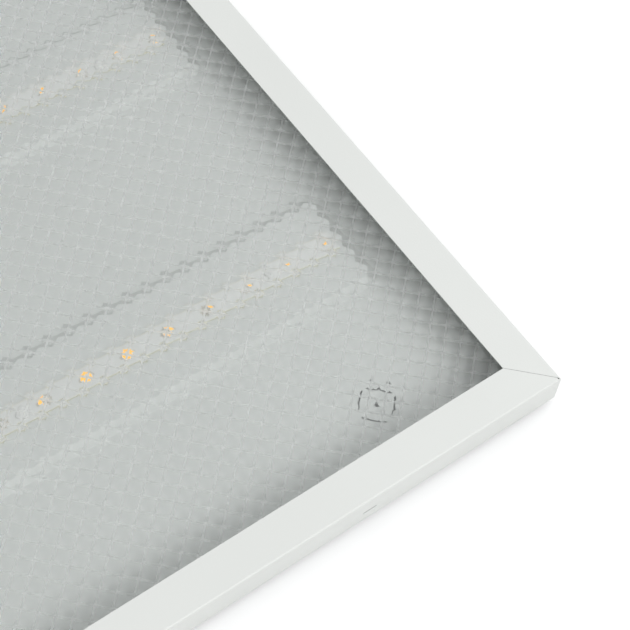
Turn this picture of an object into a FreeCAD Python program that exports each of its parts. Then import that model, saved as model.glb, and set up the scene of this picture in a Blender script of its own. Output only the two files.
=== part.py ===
import FreeCAD, Part
import math
import os
import re
import Sketcher

# Lay-in LED light panel, lying on its back with the lit face up (+Z).
# The origin is at the middle of the back, with X and Y along the sides.
# A folded sheet-steel housing carries three LED boards on raised ribs. The diffuser slides in
# under the flanges from the -Y side, and the end rail snaps on over that side.

SIZES = {
    # housing and end rail
    "panelSide": 595.0,
    "panelDepth": 19.0,
    "sheetThick": 0.6,
    "flangeWidth": 20.0,
    "bendRadius": 1.0,
    "cornerRadius": 1.2,
    "fitGap": 0.3,
    "mitreSlit": 0.2,
    "reliefRadius": 0.6,
    # raised ribs that carry the boards
    "ribSpacing": 165.0,
    "ribHeight": 4.0,
    "ribSlope": 5.0,
    "ribWidth": 62.5,
    "ribEndInset": 30.0,
    "ribCorner": 8.0,
    # ledges lanced out of the walls, under the diffuser
    "ledgeDepth": 4.0,
    "ledgeLength": 12.0,
    "ledgeSpacing": 140.0,
    # end rail: snap dents and ears
    "dentInset": 113.0,
    "dentSlitHeight": 7.4,
    "dentRadius": 4.0,
    "dentFlatRadius": 1.6,
    "dentDepth": 1.3,
    "earLength": 15.0,
    "earFoot": 1.5,
    # diffuser
    "diffuserThick": 2.0,
    "diffuserEdgeGap": 1.0,
    # knock-outs in the back
    "knockoutInsetX": 75.0,
    "knockoutInsetY": 45.0,
    "knockoutRadius": 9.5,
    "knockoutSlit": 1.6,
    "knockoutBridge": 24.0,
    "pilotRadius": 2.1,
    # LED boards
    "ledCount": 22,
    "ledPitch": 23.6,
    "firstLedInset": 44.0,
    "boardEndMargin": 5.0,
    "boardPlugMargin": 19.0,
    "boardWidth": 12.0,
    "boardThick": 1.0,
    "ledLength": 3.5,
    "ledWidth": 2.8,
    "ledHeight": 0.8,
    "phosphorRim": 0.45,
    "phosphorDepth": 0.4,
    # push rivets that hold the boards
    "rivetCount": 4,
    "rivetStep": 6,
    "rivetFirst": 1.5,
    "rivetRadius": 1.5,
    "rivetHeadRadius": 3.0,
    "rivetHeadHeight": 1.2,
    "rivetTipHeight": 1.8,
    "holeEase": 0.1,
    "roundSides": 8,
    # board plugs and the leads between them
    "plugLength": 8.0,
    "plugWidth": 9.6,
    "plugHeight": 4.0,
    "plugInset": 2.0,
    "leadRadius": 0.75,
    "leadPitch": 2.2,
    "leadRun": 16.0,
    "leadStraight": 16.0,
    # cover over the driver and the mains terminal
    "coverX": 140.0,
    "coverLength": 230.0,
    "coverHalfSpan": 55.0,
    "coverFoot": 12.5,
    "coverTop": 13.5,
    "screwInset": 14.0,
    "screwRadius": 1.45,
    "screwHeadRadius": 2.9,
    "screwHeadHeight": 1.8,
    "screwLength": 4.0,
    # driver
    "insulatorThick": 0.4,
    "insulatorMargin": 4.0,
    "driverX": 179.0,
    "driverLength": 130.0,
    "driverWidth": 60.0,
    "driverBoardThick": 1.6,
    "standoffHeight": 2.4,
    "standoffRadius": 2.5,
    "standoffPin": 1.4,
    "standoffInset": 5.0,
    "outputHeight": 4.0,
    "partHeight": 7.2,
    "transformerX": 190.0,
    "transformerLength": 20.0,
    "transformerWidth": 18.0,
    "transformerCoreWidth": 13.0,
    "filterInset": 18.0,
    "filterLength": 12.0,
    "filterWidth": 6.0,
    "canRadius": 3.5,
    "canLength": 16.0,
    "chokeRadius": 4.5,
    "chokeFlange": 1.0,
    # mains terminal
    "terminalX": 92.0,
    "terminalLength": 20.0,
    "terminalWidth": 28.0,
    "terminalHeight": 11.0,
    "polePitch": 8.0,
    "wireHole": 1.3,
    "wireHoleDepth": 6.0,
    "terminalPeg": 1.5,
    "buttonLength": 4.4,
    "buttonWidth": 3.4,
    "buttonProud": 0.7,
    "buttonTravel": 1.0,
    "buttonDepth": 4.2,
    "mainsRadius": 0.9,
    "mainsWireEnd": 4.0,
    # cable entry
    "entryX": 56.0,
    "entryPad": 30.0,
    "entrySlope": 3.0,
    "entryHeight": 3.4,
    "entryRadius": 6.0,
    "grommetRadius": 8.0,
    "grommetFlange": 1.8,
    "grommetBore": 3.5,
    # earth stud
    "earthX": 97.0,
    "earthOffset": 35.0,
    "studRadius": 2.0,
    "studHeight": 9.0,
    "studFootRadius": 3.5,
    "studFootHeight": 0.8,
    "lugRadius": 4.0,
    "lugThick": 0.8,
    "lugNeck": 1.0,
    "barrelRadius": 1.4,
    "barrelLength": 4.5,
    "earthLoop": 6.0,
    "washerThick": 0.8,
    "nutHeight": 3.2,
    "nutAcross": 7.0,
    "nutSides": 6,
}

# Tapers in degrees of the rivets' barbs and of small heads.
rivetTaper = 31
headTaper = 40
tubeSides = 6

# Places that several pieces share, written from the sizes above.
PLACES = {
    "half": "panelSide / 2",
    "wallInside": "half - sheetThick",
    "flangeEdge": "half - flangeWidth",
    "openEnd": "wallInside - fitGap",
    "earOutside": "wallInside - fitGap",
    "sillHalf": "earOutside - sheetThick - fitGap",
    "diffuserBottom": "panelDepth - sheetThick - fitGap - diffuserThick",
    "ledgeTop": "diffuserBottom - fitGap",
    "ribTop": "sheetThick + ribHeight",
    "boardTop": "ribTop + boardThick",
    "firstLedX": "half - firstLedInset",
    "lastLedX": "firstLedX - (ledCount - 1) * ledPitch",
    "boardFront": "firstLedX + boardEndMargin",
    "boardBack": "lastLedX - boardPlugMargin",
    "gearY": "ribSpacing / 2",
    "coverFront": "coverLength / 2 - coverX",
    "coverBack": "-coverX - coverLength / 2",
    "coverUnder": "coverTop - sheetThick",
    "driverBoardBottom": "sheetThick + insulatorThick + standoffHeight",
    "driverBoardTop": "driverBoardBottom + driverBoardThick",
    "driverBack": "-driverX - driverLength / 2",
    "driverFront": "-driverX + driverLength / 2",
    "terminalTop": "sheetThick + terminalHeight",
    "terminalWireZ": "sheetThick + terminalHeight / 2",
    "entryTop": "sheetThick + entryHeight",
    "lugBottom": "sheetThick + studFootHeight",
    "washerBottom": "lugBottom + lugThick",
    "nutBottom": "washerBottom + washerThick",
}

doc = FreeCAD.newDocument("lay_in_light_panel")
sheet = doc.addObject("Spreadsheet::Sheet", "Size")
parts = []


def fillSheet():
    for row, (alias, number) in enumerate(SIZES.items(), start=1):
        sheet.set("A%d" % row, alias)
        sheet.set("B%d" % row, str(number))
        sheet.setAlias("B%d" % row, alias)
    doc.recompute()


def formula(text):
    """A formula of sizes and places, spelled out in the sheet's own names."""
    def spell(match):
        word = match.group(0)
        if word in PLACES:
            return "(" + formula(PLACES[word]) + ")"
        return "Size." + word if word in SIZES else word
    return re.sub(r"[A-Za-z]\w*", spell, str(text))


def value(text):
    return float(sheet.evalExpression(formula(text)))


# ---- sketches and features --------------------------------------------------------------

def newBody(label):
    body = doc.addObject("PartDesign::Body", label)
    body.Label = label
    parts.append(body)
    return body


def sketchOn(body, role, offset="0", shiftX="0", shiftY="0"):
    plane = next(item for item in body.Origin.OriginFeatures if item.Role == role)
    sketch = body.newObject("Sketcher::SketchObject", body.Name + "_sketch")
    sketch.AttachmentSupport = [(plane, "")]
    sketch.MapMode = "FlatFace"
    sketch.setExpression("AttachmentOffset.Base.x", formula(shiftX))
    sketch.setExpression("AttachmentOffset.Base.y", formula(shiftY))
    sketch.setExpression("AttachmentOffset.Base.z", formula(offset))
    return sketch


def placed(kind, element, end, text):
    """A distance from the sketch's origin, together with the formula that drives it."""
    return Sketcher.Constraint(kind, -1, 1, element, end, value(text)), text


def sized(element, text):
    return Sketcher.Constraint("Radius", element, value(text)), text


def bind(sketch, rules):
    """Add all of an outline's constraints at once, then tie them to their formulas."""
    first = sketch.ConstraintCount
    sketch.addConstraint([constraint for constraint, text in rules])
    for index, (constraint, text) in enumerate(rules, start=first):
        if text is not None:
            sketch.setExpression("Constraints[%d]" % index, formula(text))


def outline(sketch, corners):
    """A closed outline through corners (x, y) or (x, y, radius), each a formula."""
    count = len(corners)
    points = [FreeCAD.Vector(value(c[0]), value(c[1]), 0) for c in corners]
    first = sketch.GeometryCount
    starts, ends, arcs = list(points), list(points), {}
    for i, corner in enumerate(corners):
        ends[i - 1] = points[i]
        if len(corner) == 3:
            radius = value(corner[2])
            before = (points[i - 1] - points[i]).normalize() * radius
            after = (points[(i + 1) % count] - points[i]).normalize() * radius
            ends[i - 1] = points[i] + before
            starts[i] = points[i] + after
            arcs[i] = quarterTurn(points[i] + before + after, -after, -before, radius)
    for i in range(count):
        sketch.addGeometry(Part.LineSegment(starts[i], ends[i]))
    rules = []
    for i in range(count):
        rules += joinCorner(sketch, corners[i], first + (i - 1) % count, first + i, arcs.get(i))
    for i in range(count):
        here, there = corners[i], corners[(i + 1) % count]
        line = first + i
        if here[0] == there[0]:
            rules.append((Sketcher.Constraint("Vertical", line), None))
            rules.append(placed("DistanceX", line, 1, here[0]))
        elif here[1] == there[1]:
            rules.append((Sketcher.Constraint("Horizontal", line), None))
            rules.append(placed("DistanceY", line, 1, here[1]))
        else:
            rules += slantedLine(corners, i, line)
    bind(sketch, rules)


def quarterTurn(centre, begin, end, radius):
    """A corner's arc, always drawn anticlockwise, and whether that turns it round."""
    turned = begin.cross(end).z < 0
    low, high = (end, begin) if turned else (begin, end)
    angle = math.atan2(low.y, low.x)
    circle = Part.Circle(centre, FreeCAD.Vector(0, 0, 1), radius)
    return Part.ArcOfCircle(circle, angle, angle + low.getAngle(high)), turned


def joinCorner(sketch, corner, before, after, arc):
    if arc is None:
        return [(Sketcher.Constraint("Coincident", before, 2, after, 1), None)]
    drawn, turned = arc
    index = sketch.addGeometry(drawn)
    first, last = (2, 1) if turned else (1, 2)
    return [(Sketcher.Constraint("Tangent", before, 2, index, first), None),
            (Sketcher.Constraint("Tangent", index, last, after, 1), None),
            sized(index, corner[2])]


def slantedLine(corners, i, line):
    """A slanted line's ends are placed, unless a level or upright neighbour does it already."""
    count = len(corners)
    here, there = corners[i], corners[(i + 1) % count]
    before, after = corners[i - 1], corners[(i + 2) % count]
    rules = []
    if before[0] != here[0]:
        rules.append(placed("DistanceX", line, 1, here[0]))
    if before[1] != here[1]:
        rules.append(placed("DistanceY", line, 1, here[1]))
    if there[0] != after[0] and there[1] == after[1]:
        rules.append(placed("DistanceX", line, 2, there[0]))
    if there[1] != after[1] and there[0] == after[0]:
        rules.append(placed("DistanceY", line, 2, there[1]))
    return rules


def rectangle(sketch, x1, y1, x2, y2, radius=None):
    corners = [(x1, y1), (x2, y1), (x2, y2), (x1, y2)]
    if radius:
        corners = [corner + (radius,) for corner in corners]
    outline(sketch, corners)


def circle(sketch, x, y, radius):
    centre = FreeCAD.Vector(value(x), value(y), 0)
    index = sketch.addGeometry(Part.Circle(centre, FreeCAD.Vector(0, 0, 1), value(radius)))
    bind(sketch, [placed("DistanceX", index, 3, x),
                  placed("DistanceY", index, 3, y),
                  sized(index, radius)])


def manySided(sketch, x, y, radius, sides="roundSides"):
    """A regular outline with the given corner radius, for small round parts and their holes."""
    count = int(value(sides))
    corners = []
    for k in range(count):
        angle = "((%d + 0.5) * 360deg / %s)" % (k, sides)
        corners.append(("%s + (%s) * cos(%s)" % (x, radius, angle),
                        "%s + (%s) * sin(%s)" % (y, radius, angle)))
    outline(sketch, corners)


def extrude(kind, body, sketch, length, reverse=False, both=False):
    feature = body.newObject("PartDesign::" + kind, body.Name + "_" + kind)
    feature.Profile = sketch
    feature.setExpression("Length", formula(length))
    feature.Reversed = reverse
    feature.SideType = "Symmetric" if both else "One side"
    sketch.Visibility = False
    doc.recompute()
    if sketch.solve() != 0 or "Invalid" in feature.State:
        raise RuntimeError("%s of %s fails" % (kind, body.Label))
    return feature


def pad(body, sketch, length, reverse=False, both=False):
    return extrude("Pad", body, sketch, length, reverse, both)


def prism(body, x, y, low, high, radius, taper=0):
    """A many-sided length between two heights, widening upwards by the taper in degrees."""
    face = sketchOn(body, "XY_Plane", low)
    manySided(face, x, y, radius)
    feature = pad(body, face, "%s - (%s)" % (high, low))
    feature.TaperAngle = taper
    doc.recompute()
    return feature


def pocket(body, sketch, length, reverse=False, both=False):
    """Cut a pocket and make sure that it has taken something away."""
    before = body.Shape.Volume
    feature = extrude("Pocket", body, sketch, length, reverse, both)
    if body.Shape.Volume > before - 1e-6:
        raise RuntimeError("a pocket of %s cuts nothing" % body.Label)
    return feature


def turn(kind, body, sketch, angle=360.0):
    """Revolve an outline about its sketch's own upright axis."""
    feature = body.newObject("PartDesign::" + kind, body.Name + "_" + kind)
    feature.Profile = sketch
    feature.ReferenceAxis = (sketch, ["V_Axis"])
    feature.Angle = angle
    doc.recompute()
    return feature


def loft(kind, body, sketches):
    feature = body.newObject("PartDesign::" + kind, body.Name + "_" + kind)
    feature.Profile = sketches[0]
    feature.Sections = sketches[1:]
    feature.Ruled = True
    doc.recompute()
    return feature


def repeat(body, features, role, length, count):
    pattern = body.newObject("PartDesign::LinearPattern", body.Name + "_row")
    pattern.Originals = features
    axis = next(item for item in body.Origin.OriginFeatures if item.Role == role)
    pattern.Direction = (axis, [""])
    pattern.setExpression("Length", formula(length))
    pattern.setExpression("Occurrences", formula(count))
    body.Tip = pattern
    doc.recompute()
    return pattern


def mirror(body, features, role):
    copy = body.newObject("PartDesign::Mirrored", body.Name + "_mirror")
    copy.Originals = features
    plane = next(item for item in body.Origin.OriginFeatures if item.Role == role)
    copy.MirrorPlane = (plane, [""])
    body.Tip = copy
    doc.recompute()
    return copy


def fillet(body, radius, chosen):
    """Round the edges that the test picks, with a radius from the sheet."""
    base = body.Tip
    names = ["Edge%d" % (i + 1) for i, edge in enumerate(base.Shape.Edges) if chosen(edge)]
    if not names:
        raise RuntimeError("no edge of %s to round" % body.Label)
    feature = body.newObject("PartDesign::Fillet", body.Name + "_fillet")
    feature.Base = (base, names)
    feature.setExpression("Radius", formula(radius))
    doc.recompute()
    return feature


def near(one, other):
    return abs(one - other) < 1e-4


# ---- housing ----------------------------------------------------------------------------

def housing():
    """Back, three walls and their flanges, folded from one sheet and open at -Y."""
    body = newBody("housing_pan")
    block = sketchOn(body, "XY_Plane")
    rectangle(block, "-half", "-openEnd", "half", "half")
    pad(body, block, "panelDepth")
    outside = [value("half"), value("-openEnd")]
    fillet(body, "cornerRadius", lambda edge: all(
        near(abs(v.X), outside[0]) and near(v.Y, outside[0]) for v in edge.Vertexes))
    top = value("panelDepth")
    fillet(body, "bendRadius", lambda edge: near(edge.BoundBox.ZLength, 0)
           and (near(edge.BoundBox.ZMin, 0) or near(edge.BoundBox.ZMin, top))
           and not near(edge.BoundBox.YMax, outside[1]))
    hollow = sketchOn(body, "XZ_Plane", "openEnd")
    rectangle(hollow, "-wallInside", "sheetThick", "wallInside", "panelDepth - sheetThick",
              "bendRadius - sheetThick")
    pocket(body, hollow, "openEnd + wallInside")
    aperture = sketchOn(body, "XY_Plane", "panelDepth")
    outline(aperture, [
        ("-flangeEdge", "flangeEdge"),
        ("-flangeEdge", "fitGap - flangeEdge"),
        ("-half - sheetThick", "fitGap - half - sheetThick"),
        ("half + sheetThick", "fitGap - half - sheetThick"),
        ("flangeEdge", "fitGap - flangeEdge"),
        ("flangeEdge", "flangeEdge")])
    pocket(body, aperture, "sheetThick + bendRadius")
    sill(body)
    mitres(body)
    ribs(body)
    ledges(body)
    knockouts(body)
    backHoles(body)
    entryPad(body)


def sill(body):
    """Upturned lip at the open end: it holds up the diffuser's edge and takes the rail's dents."""
    lip = sketchOn(body, "XZ_Plane", "openEnd")
    rectangle(lip, "-sillHalf", "0", "sillHalf", "ledgeTop")
    pad(body, lip, "sheetThick", reverse=True)
    slots = sketchOn(body, "XZ_Plane", "openEnd")
    for side in ("-(half - dentInset)", "0", "half - dentInset"):
        rectangle(slots, side + " - dentRadius - 2 * fitGap", "dentSlitHeight - dentRadius - 2 * fitGap",
                  side + " + dentRadius + 2 * fitGap", "dentSlitHeight + fitGap")
    pocket(body, slots, "sheetThick + fitGap")


def mitres(body):
    """Flange joints at the two folded corners, each with its relief hole."""
    slits = sketchOn(body, "XY_Plane", "panelDepth")
    inner = "flangeEdge - sheetThick"
    outer = "half - bendRadius"
    for sign in ("", "-"):
        outline(slits, [
            (sign + "(%s)" % inner, inner + " + mitreSlit * 0.7"),
            (sign + "(%s)" % inner, inner + " - mitreSlit * 0.7"),
            (sign + "(%s)" % outer, outer + " - mitreSlit * 0.7"),
            (sign + "(%s)" % outer, outer + " + mitreSlit * 0.7")])
    pocket(body, slits, "sheetThick + fitGap")
    reliefs = sketchOn(body, "XY_Plane", "panelDepth")
    for sign in ("", "-"):
        circle(reliefs, sign + "(half - bendRadius)", "half - bendRadius", "reliefRadius")
    pocket(body, reliefs, "2 * bendRadius")


def raisedSketch(body, level, x1, y1, x2, y2, radius):
    face = sketchOn(body, "XY_Plane", level)
    rectangle(face, x1, y1, x2, y2, radius)
    return face


def emboss(body, base, slope, height, radius):
    """Press the sheet up into a flat-topped form and hollow it from the back."""
    top = [base[0] + " + " + slope, base[1] + " + " + slope,
           base[2] + " - " + slope, base[3] + " - " + slope]
    before = body.Tip.Shape.Volume
    added = loft("AdditiveLoft", body, [
        raisedSketch(body, "sheetThick", *base, radius),
        raisedSketch(body, "sheetThick + " + height, *top, radius + " - " + slope)])
    hollowed = loft("SubtractiveLoft", body, [
        raisedSketch(body, "0", *base, radius),
        raisedSketch(body, height, *top, radius + " - " + slope)])
    if body.Shape.Volume > added.Shape.Volume - 1 or added.Shape.Volume < before + 1:
        raise RuntimeError("an embossed form of %s is missing" % body.Label)
    return [added, hollowed]


def ribs(body):
    base = ["ribEndInset - half", "-ribSpacing - ribWidth / 2",
            "half - ribEndInset", "-ribSpacing + ribWidth / 2"]
    features = emboss(body, base, "ribSlope", "ribHeight", "ribCorner")
    repeat(body, features, "Y_Axis", "2 * ribSpacing", "3")


def ledges(body):
    """Tongues lanced out of the walls and folded in under the diffuser, with their windows."""
    windows = sketchOn(body, "YZ_Plane")
    shelves = sketchOn(body, "YZ_Plane", "-half + sheetThick / 2")
    backWindows = sketchOn(body, "XZ_Plane", "-half")
    backShelves = sketchOn(body, "XZ_Plane", "-half + sheetThick / 2")
    for step in (-1.5, -0.5, 0.5, 1.5):
        low = "ledgeSpacing * %s - ledgeLength / 2" % step
        high = "ledgeSpacing * %s + ledgeLength / 2" % step
        for sketch in (windows, backWindows):
            rectangle(sketch, low, "ledgeTop - sheetThick - ledgeDepth", high, "ledgeTop - sheetThick")
        for sketch in (shelves, backShelves):
            rectangle(sketch, low, "ledgeTop - sheetThick", high, "ledgeTop")
    pocket(body, windows, "panelSide + sheetThick", both=True)
    shelf = pad(body, shelves, "ledgeDepth + sheetThick / 2")
    mirror(body, [shelf], "YZ_Plane")
    pocket(body, backWindows, "sheetThick + fitGap", reverse=True)
    pad(body, backShelves, "ledgeDepth + sheetThick / 2")


def knockouts(body):
    """Round knock-outs held by four bridges, each with a pilot hole, one near each corner."""
    sketch = sketchOn(body, "XY_Plane")
    for signX in ("", "-"):
        for signY in ("", "-"):
            x = signX + "(half - knockoutInsetX)"
            y = signY + "(half - knockoutInsetY)"
            circle(sketch, x, y, "pilotRadius")
            for quarter in range(4):
                arcSlot(sketch, x, y, 90 * quarter)
    pocket(body, sketch, "sheetThick + fitGap", reverse=True)


def arcSlot(sketch, x, y, start):
    """A curved slot between two bridges, with square ends."""
    first = math.radians(start + value("knockoutBridge") / 2)
    last = math.radians(start + 90 - value("knockoutBridge") / 2)
    centre = FreeCAD.Vector(value(x), value(y), 0)
    up = FreeCAD.Vector(0, 0, 1)
    radii = ["knockoutRadius + knockoutSlit / 2", "knockoutRadius - knockoutSlit / 2"]
    rims, rules = [], []
    for radius in radii:
        rim = sketch.addGeometry(Part.ArcOfCircle(Part.Circle(centre, up, value(radius)), first, last))
        rules += [placed("DistanceX", rim, 3, x), placed("DistanceY", rim, 3, y), sized(rim, radius)]
        rims.append(rim)
    for end, text in ((1, "%d + knockoutBridge / 2" % start),
                      (2, "%d - knockoutBridge / 2" % (start + 90))):
        outer, inner = (sketch.getPoint(rim, end) for rim in rims)
        side = sketch.addGeometry(Part.LineSegment(outer, inner))
        rules.append((Sketcher.Constraint("Coincident", side, 1, rims[0], end), None))
        rules.append((Sketcher.Constraint("Coincident", side, 2, rims[1], end), None))
        for rim, radius in zip(rims, radii):
            across = "%s + (%s) * cos((%s) * 1deg)" % (x, radius, text)
            rules.append(placed("DistanceX", rim, end, across))
    bind(sketch, rules)


def backHoles(body):
    """Holes for the rivets, the cover's screws, the standoffs and the terminal's pegs."""
    sketch = sketchOn(body, "XY_Plane")
    for row in (-1, 0, 1):
        for x in rivetPlaces():
            circle(sketch, x, "ribSpacing * %d" % row, "rivetRadius + holeEase")
    for x, y in coverScrewPlaces():
        circle(sketch, x, y, "screwRadius + holeEase / 2")
    for side in ("-", "+"):
        circle(sketch, "-terminalX", "gearY %s polePitch" % side, "terminalPeg + holeEase / 2")
    pocket(body, sketch, "ribTop + fitGap", reverse=True)


def entryPad(body):
    """Raised pad for the cable entry, so that its grommet stays above the back."""
    base = ["-entryX - entryPad / 2", "gearY - entryPad / 2",
            "-entryX + entryPad / 2", "gearY + entryPad / 2"]
    emboss(body, base, "entrySlope", "entryHeight", "ribCorner")
    hole = sketchOn(body, "XY_Plane")
    circle(hole, "-entryX", "gearY", "entryRadius")
    pocket(body, hole, "entryTop + fitGap", reverse=True)


# ---- end rail and diffuser --------------------------------------------------------------

def endRail():
    """Fourth side, taken off to reach the diffuser: wall, mitred flange, ears and snap dents."""
    body = newBody("end_rail")
    section = sketchOn(body, "YZ_Plane")
    outline(section, [
        ("-half", "0"),
        ("-half", "panelDepth", "bendRadius"),
        ("-flangeEdge", "panelDepth"),
        ("-flangeEdge", "panelDepth - sheetThick"),
        ("-wallInside", "panelDepth - sheetThick", "bendRadius - sheetThick"),
        ("-wallInside", "0")])
    pad(body, section, "panelSide", both=True)
    ends = sketchOn(body, "XY_Plane", "panelDepth")
    for sign in ("", "-"):
        outline(ends, [
            (sign + "(half + sheetThick)", "-half - sheetThick"),
            (sign + "(flangeEdge - sheetThick)", "sheetThick - flangeEdge"),
            (sign + "(half + sheetThick)", "sheetThick - flangeEdge")])
    pocket(body, ends, "sheetThick")
    reliefs = sketchOn(body, "XY_Plane", "panelDepth")
    ears = sketchOn(body, "XY_Plane", "earFoot")
    for sign in ("", "-"):
        circle(reliefs, sign + "(half - bendRadius)", "bendRadius - half", "reliefRadius")
        rectangle(ears, sign + "(earOutside - sheetThick)", "-wallInside - sheetThick / 2",
                  sign + "(earOutside)", "earLength - wallInside")
    pocket(body, reliefs, "sheetThick + bendRadius")
    pad(body, ears, "ledgeTop - sheetThick - fitGap - earFoot")
    dents(body)


def dents(body):
    """Half-round dents under a slit in the wall, which snap into the housing's sill."""
    place = ["XY_Plane", "dentSlitHeight", "dentInset - half"]
    shell = sketchOn(body, *place)
    outline(shell, [
        ("0", "dentDepth - half"),
        ("dentFlatRadius", "dentDepth - half"),
        ("dentRadius", "-half"),
        ("dentRadius", "-wallInside"),
        ("dentFlatRadius", "dentDepth - wallInside"),
        ("0", "dentDepth - wallInside")])
    raised = turn("Revolution", body, shell, 180)
    hollow = sketchOn(body, *place)
    outline(hollow, [
        ("0", "-half - sheetThick"),
        ("dentRadius", "-half - sheetThick"),
        ("dentRadius", "-half"),
        ("dentFlatRadius", "dentDepth - half"),
        ("0", "dentDepth - half")])
    hollowed = turn("Groove", body, hollow, 180)
    repeat(body, [raised, hollowed], "X_Axis", "2 * (half - dentInset)", "3")


def diffuser():
    body = newBody("prismatic_diffuser")
    face = sketchOn(body, "XY_Plane", "diffuserBottom")
    reach = "(wallInside - diffuserEdgeGap)"
    rectangle(face, "-" + reach, "-" + reach, reach, reach, "bendRadius")
    pad(body, face, "diffuserThick")


# ---- LED boards -------------------------------------------------------------------------

def atRow(body, row):
    body.setExpression("Placement.Base.y", formula("ribSpacing * %d" % row))


def rivetPlaces():
    """Where the rivets lie along a board, each halfway between two LEDs."""
    return ["firstLedX - (rivetFirst + rivetStep * %d) * ledPitch" % k
            for k in range(int(value("rivetCount")))]


def revolved(body, x, y, profile):
    """A round feature on an upright axis, from its profile (radius, height)."""
    sketch = sketchOn(body, "XZ_Plane", "-(%s)" % y, x)
    outline(sketch, profile)
    return turn("Revolution", body, sketch)


def ledBoard(row, number):
    body = newBody("led_board_%d" % number)
    atRow(body, row)
    face = sketchOn(body, "XY_Plane", "ribTop")
    rectangle(face, "boardBack", "-boardWidth / 2", "boardFront", "boardWidth / 2")
    pad(body, face, "boardThick")
    holes = sketchOn(body, "XY_Plane", "boardTop")
    for x in rivetPlaces():
        circle(holes, x, "0", "rivetRadius + holeEase")
    pocket(body, holes, "boardThick + fitGap")


def ledPackages(row, number):
    """White LED bodies, each with a recess for its phosphor."""
    body = newBody("led_bodies_%d" % number)
    atRow(body, row)
    base = sketchOn(body, "XY_Plane", "boardTop")
    rectangle(base, "lastLedX - ledLength / 2", "-ledWidth / 2",
              "lastLedX + ledLength / 2", "ledWidth / 2")
    block = pad(body, base, "ledHeight")
    cup = sketchOn(body, "XY_Plane", "boardTop + ledHeight")
    phosphorOutline(cup)
    recess = pocket(body, cup, "phosphorDepth")
    repeat(body, [block, recess], "X_Axis", "(ledCount - 1) * ledPitch", "ledCount")


def phosphorOutline(sketch):
    x = "ledLength / 2 - phosphorRim"
    y = "ledWidth / 2 - phosphorRim"
    rectangle(sketch, "lastLedX - (%s)" % x, "-(%s)" % y, "lastLedX + %s" % x, y)


def ledPhosphors(row, number):
    body = newBody("led_phosphors_%d" % number)
    atRow(body, row)
    base = sketchOn(body, "XY_Plane", "boardTop + ledHeight - phosphorDepth")
    phosphorOutline(base)
    block = pad(body, base, "phosphorDepth")
    repeat(body, [block], "X_Axis", "(ledCount - 1) * ledPitch", "ledCount")


def boardRivets(row, number):
    """Plastic push rivets: a low domed head, a shank and a tip that spreads under the rib."""
    body = newBody("board_rivets_%d" % number)
    atRow(body, row)
    x = rivetPlaces()[-1]
    barb = prism(body, x, "0", "rivetTipHeight", "ribHeight - fitGap", "rivetRadius / 2", rivetTaper)
    shank = prism(body, x, "0", "ribHeight - fitGap", "boardTop", "rivetRadius")
    head = prism(body, x, "0", "boardTop", "boardTop + rivetHeadHeight", "rivetHeadRadius",
                 -headTaper)
    repeat(body, [barb, shank, head], "X_Axis", "(rivetCount - 1) * rivetStep * ledPitch", "rivetCount")


def boardPlug(row, number):
    """Lead socket block at the board's -X end, with four lead holes."""
    body = newBody("board_plug_%d" % number)
    atRow(body, row)
    face = sketchOn(body, "XY_Plane", "boardTop")
    rectangle(face, "boardBack + plugInset", "-plugWidth / 2",
              "boardBack + plugInset + plugLength", "plugWidth / 2")
    pad(body, face, "plugHeight")
    leadHoles(body, "boardBack + plugInset", "0", "boardTop + plugHeight / 2")


def leadHoles(body, faceX, middleY, height):
    holes = sketchOn(body, "YZ_Plane", faceX)
    half = "(leadRadius + holeEase)"
    for step in (-1.5, -0.5, 0.5, 1.5):
        y = "%s + leadPitch * %s" % (middleY, step)
        rectangle(holes, "%s - %s" % (y, half), "%s - %s" % (height, half),
                  "%s + %s" % (y, half), "%s + %s" % (height, half))
    pocket(body, holes, "plugInset", reverse=True)


# ---- driver under its cover -------------------------------------------------------------

def coverScrewPlaces():
    out = "coverHalfSpan + coverFoot / 2"
    return [(x, "gearY %s (%s)" % (side, out))
            for x in ("coverBack + screwInset", "coverFront - screwInset") for side in ("-", "+")]


def gearCover():
    """Folded hat section with end flaps, standing on two ribs over the driver and the terminal."""
    body = newBody("gear_cover")
    left, right = "gearY - coverHalfSpan", "gearY + coverHalfSpan"
    foot = "ribTop + sheetThick"
    bend = "bendRadius - sheetThick"
    section = sketchOn(body, "YZ_Plane", "coverBack")
    outline(section, [
        (left + " - coverFoot", "ribTop"),
        (left + " + sheetThick", "ribTop", "bendRadius"),
        (left + " + sheetThick", "coverUnder", bend),
        (right + " - sheetThick", "coverUnder", bend),
        (right + " - sheetThick", "ribTop", "bendRadius"),
        (right + " + coverFoot", "ribTop"),
        (right + " + coverFoot", foot),
        (right, foot, bend),
        (right, "coverTop", "bendRadius"),
        (left, "coverTop", "bendRadius"),
        (left, foot, bend),
        (left + " - coverFoot", foot)])
    pad(body, section, "coverLength")
    for place in ("coverBack", "coverFront - sheetThick"):
        flap = sketchOn(body, "YZ_Plane", place)
        low = "sheetThick + fitGap"
        step = "ribTop + fitGap"
        inLeft, inRight = "ribWidth / 2 + fitGap", "ribSpacing - ribWidth / 2 - fitGap"
        outLeft, outRight = left + " + sheetThick / 2", right + " - sheetThick / 2"
        middle = "coverTop - sheetThick / 2"
        outline(flap, [
            (inLeft, low), (inRight, low), (inRight, step), (outRight, step),
            (outRight, middle), (outLeft, middle), (outLeft, step), (inLeft, step)])
        pad(body, flap, "sheetThick")
    notch = sketchOn(body, "YZ_Plane", "coverBack")
    rectangle(notch, "gearY - 3 * leadPitch", "0",
              "gearY + 3 * leadPitch", "driverBoardTop + outputHeight")
    pocket(body, notch, "sheetThick + fitGap", reverse=True)
    holes = sketchOn(body, "XY_Plane", foot)
    for x, y in coverScrewPlaces():
        circle(holes, x, y, "screwRadius + holeEase")
    pocket(body, holes, "sheetThick + fitGap")


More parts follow.
